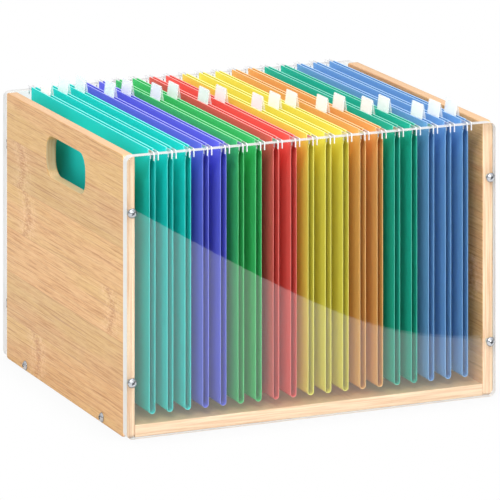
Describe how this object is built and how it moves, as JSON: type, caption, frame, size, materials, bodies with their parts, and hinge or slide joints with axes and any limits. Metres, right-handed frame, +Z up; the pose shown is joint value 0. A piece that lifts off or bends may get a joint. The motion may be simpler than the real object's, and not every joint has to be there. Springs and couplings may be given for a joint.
{
  "type": "desktop file sorter",
  "caption": "Open bamboo box with clear end panels as rails and a full row of coloured hanging file folders on steel rods.",
  "frame": {"origin": "centre of the box's footprint, on the floor", "axes": "+X to the right along the front clear panel, +Y to the back, along the folders, +Z up; the front clear panel faces -Y"},
  "size_m": [0.381, 0.327, 0.2753],
  "materials": {
    "bamboo_side": "clear satin lacquer over laminated bamboo strips",
    "bamboo_base": "clear satin lacquer over laminated bamboo strips",
    "clear_panel": "polished clear acrylic with bright sawn edges",
    "screw_steel": "zinc-plated satin",
    "rod_steel": "bright rolled strip",
    "card_teal": "dyed matte card",
    "card_indigo": "dyed matte card",
    "card_green": "dyed matte card",
    "card_red": "dyed matte card",
    "card_yellow": "dyed matte card",
    "card_orange": "dyed matte card",
    "card_emerald": "dyed matte card",
    "card_blue": "dyed matte card"
  },
  "bodies": {
    "box": {"left_side_panel": "bamboo_side", "right_side_panel": "bamboo_side", "base_panel": "bamboo_base", "front_panel": "clear_panel", "rear_panel": "clear_panel", "panel_screws": "screw_steel", "base_screws": "screw_steel"},
    "folder_01": {"folder_01_sleeve": "card_teal", "folder_01_rods": "rod_steel"},
    "folder_02": {"folder_02_sleeve": "card_teal", "folder_02_rods": "rod_steel"},
    "folder_03": {"folder_03_sleeve": "card_teal", "folder_03_rods": "rod_steel"},
    "folder_04": {"folder_04_sleeve": "card_indigo", "folder_04_rods": "rod_steel"},
    "folder_05": {"folder_05_sleeve": "card_indigo", "folder_05_rods": "rod_steel"},
    "folder_06": {"folder_06_sleeve": "card_green", "folder_06_rods": "rod_steel"},
    "folder_07": {"folder_07_sleeve": "card_green", "folder_07_rods": "rod_steel"},
    "folder_08": {"folder_08_sleeve": "card_red", "folder_08_rods": "rod_steel"},
    "folder_09": {"folder_09_sleeve": "card_red", "folder_09_rods": "rod_steel"},
    "folder_10": {"folder_10_sleeve": "card_yellow", "folder_10_rods": "rod_steel"},
    "folder_11": {"folder_11_sleeve": "card_yellow", "folder_11_rods": "rod_steel"},
    "folder_12": {"folder_12_sleeve": "card_yellow", "folder_12_rods": "rod_steel"},
    "folder_13": {"folder_13_sleeve": "card_orange", "folder_13_rods": "rod_steel"},
    "folder_14": {"folder_14_sleeve": "card_orange", "folder_14_rods": "rod_steel"},
    "folder_15": {"folder_15_sleeve": "card_emerald", "folder_15_rods": "rod_steel"},
    "folder_16": {"folder_16_sleeve": "card_emerald", "folder_16_rods": "rod_steel"},
    "folder_17": {"folder_17_sleeve": "card_blue", "folder_17_rods": "rod_steel"},
    "folder_18": {"folder_18_sleeve": "card_blue", "folder_18_rods": "rod_steel"},
    "folder_19": {"folder_19_sleeve": "card_blue", "folder_19_rods": "rod_steel"}
  },
  "joints": [
    {"name": "folder_01_lift", "type": "slide", "parent": "box", "child": "folder_01", "axis": [0, 0, 1], "range_m": [0, 0.25]},
    {"name": "folder_02_lift", "type": "slide", "parent": "box", "child": "folder_02", "axis": [0, 0, 1], "range_m": [0, 0.25]},
    {"name": "folder_03_lift", "type": "slide", "parent": "box", "child": "folder_03", "axis": [0, 0, 1], "range_m": [0, 0.25]},
    {"name": "folder_04_lift", "type": "slide", "parent": "box", "child": "folder_04", "axis": [0, 0, 1], "range_m": [0, 0.25]},
    {"name": "folder_05_lift", "type": "slide", "parent": "box", "child": "folder_05", "axis": [0, 0, 1], "range_m": [0, 0.25]},
    {"name": "folder_06_lift", "type": "slide", "parent": "box", "child": "folder_06", "axis": [0, 0, 1], "range_m": [0, 0.25]},
    {"name": "folder_07_lift", "type": "slide", "parent": "box", "child": "folder_07", "axis": [0, 0, 1], "range_m": [0, 0.25]},
    {"name": "folder_08_lift", "type": "slide", "parent": "box", "child": "folder_08", "axis": [0, 0, 1], "range_m": [0, 0.25]},
    {"name": "folder_09_lift", "type": "slide", "parent": "box", "child": "folder_09", "axis": [0, 0, 1], "range_m": [0, 0.25]},
    {"name": "folder_10_lift", "type": "slide", "parent": "box", "child": "folder_10", "axis": [0, 0, 1], "range_m": [0, 0.25]},
    {"name": "folder_11_lift", "type": "slide", "parent": "box", "child": "folder_11", "axis": [0, 0, 1], "range_m": [0, 0.25]},
    {"name": "folder_12_lift", "type": "slide", "parent": "box", "child": "folder_12", "axis": [0, 0, 1], "range_m": [0, 0.25]},
    {"name": "folder_13_lift", "type": "slide", "parent": "box", "child": "folder_13", "axis": [0, 0, 1], "range_m": [0, 0.25]},
    {"name": "folder_14_lift", "type": "slide", "parent": "box", "child": "folder_14", "axis": [0, 0, 1], "range_m": [0, 0.25]},
    {"name": "folder_15_lift", "type": "slide", "parent": "box", "child": "folder_15", "axis": [0, 0, 1], "range_m": [0, 0.25]},
    {"name": "folder_16_lift", "type": "slide", "parent": "box", "child": "folder_16", "axis": [0, 0, 1], "range_m": [0, 0.25]},
    {"name": "folder_17_lift", "type": "slide", "parent": "box", "child": "folder_17", "axis": [0, 0, 1], "range_m": [0, 0.25]},
    {"name": "folder_18_lift", "type": "slide", "parent": "box", "child": "folder_18", "axis": [0, 0, 1], "range_m": [0, 0.25]},
    {"name": "folder_19_lift", "type": "slide", "parent": "box", "child": "folder_19", "axis": [0, 0, 1], "range_m": [0, 0.25]}
  ]
}
